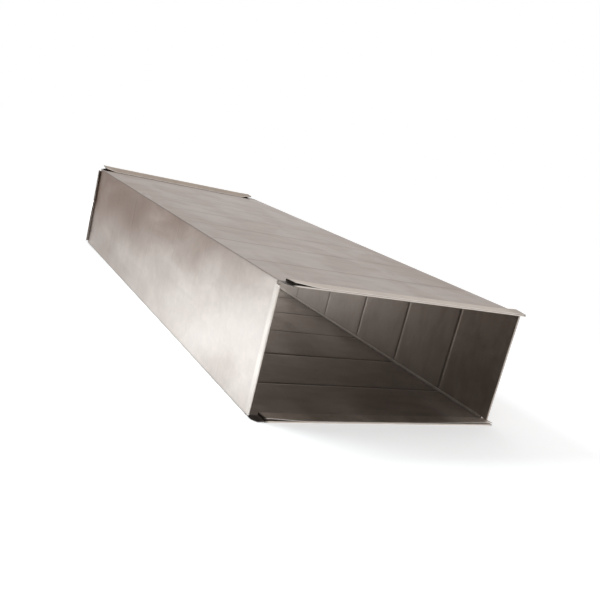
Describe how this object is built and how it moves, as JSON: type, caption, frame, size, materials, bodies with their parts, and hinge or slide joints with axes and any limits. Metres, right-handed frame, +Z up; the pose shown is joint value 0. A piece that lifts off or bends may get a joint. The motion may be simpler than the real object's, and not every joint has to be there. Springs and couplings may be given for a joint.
{
  "type": "rectangular air duct",
  "caption": "Straight rectangular sheet-metal air duct with pressed stiffening beads, folded drive hems on its side walls and S-slip strips along the edges of its open ends.",
  "frame": {"origin": "centre of the duct's plan, on the floor that the lower slips rest on", "axes": "+X across the duct's width, +Y along its length towards the rear end, +Z up"},
  "size_m": [0.5276, 1.2171, 0.2312],
  "materials": {
    "duct_sheet": "galvanised sheet, dull and softly mottled",
    "slip_strip": "galvanised strip, cleaner and brighter at the folds"
  },
  "bodies": {
    "root": {"upper_sheet": "duct_sheet", "lower_sheet": "duct_sheet", "front_top_slip": "slip_strip", "front_bottom_slip": "slip_strip", "rear_top_slip": "slip_strip", "rear_bottom_slip": "slip_strip"}
  },
  "joints": []
}
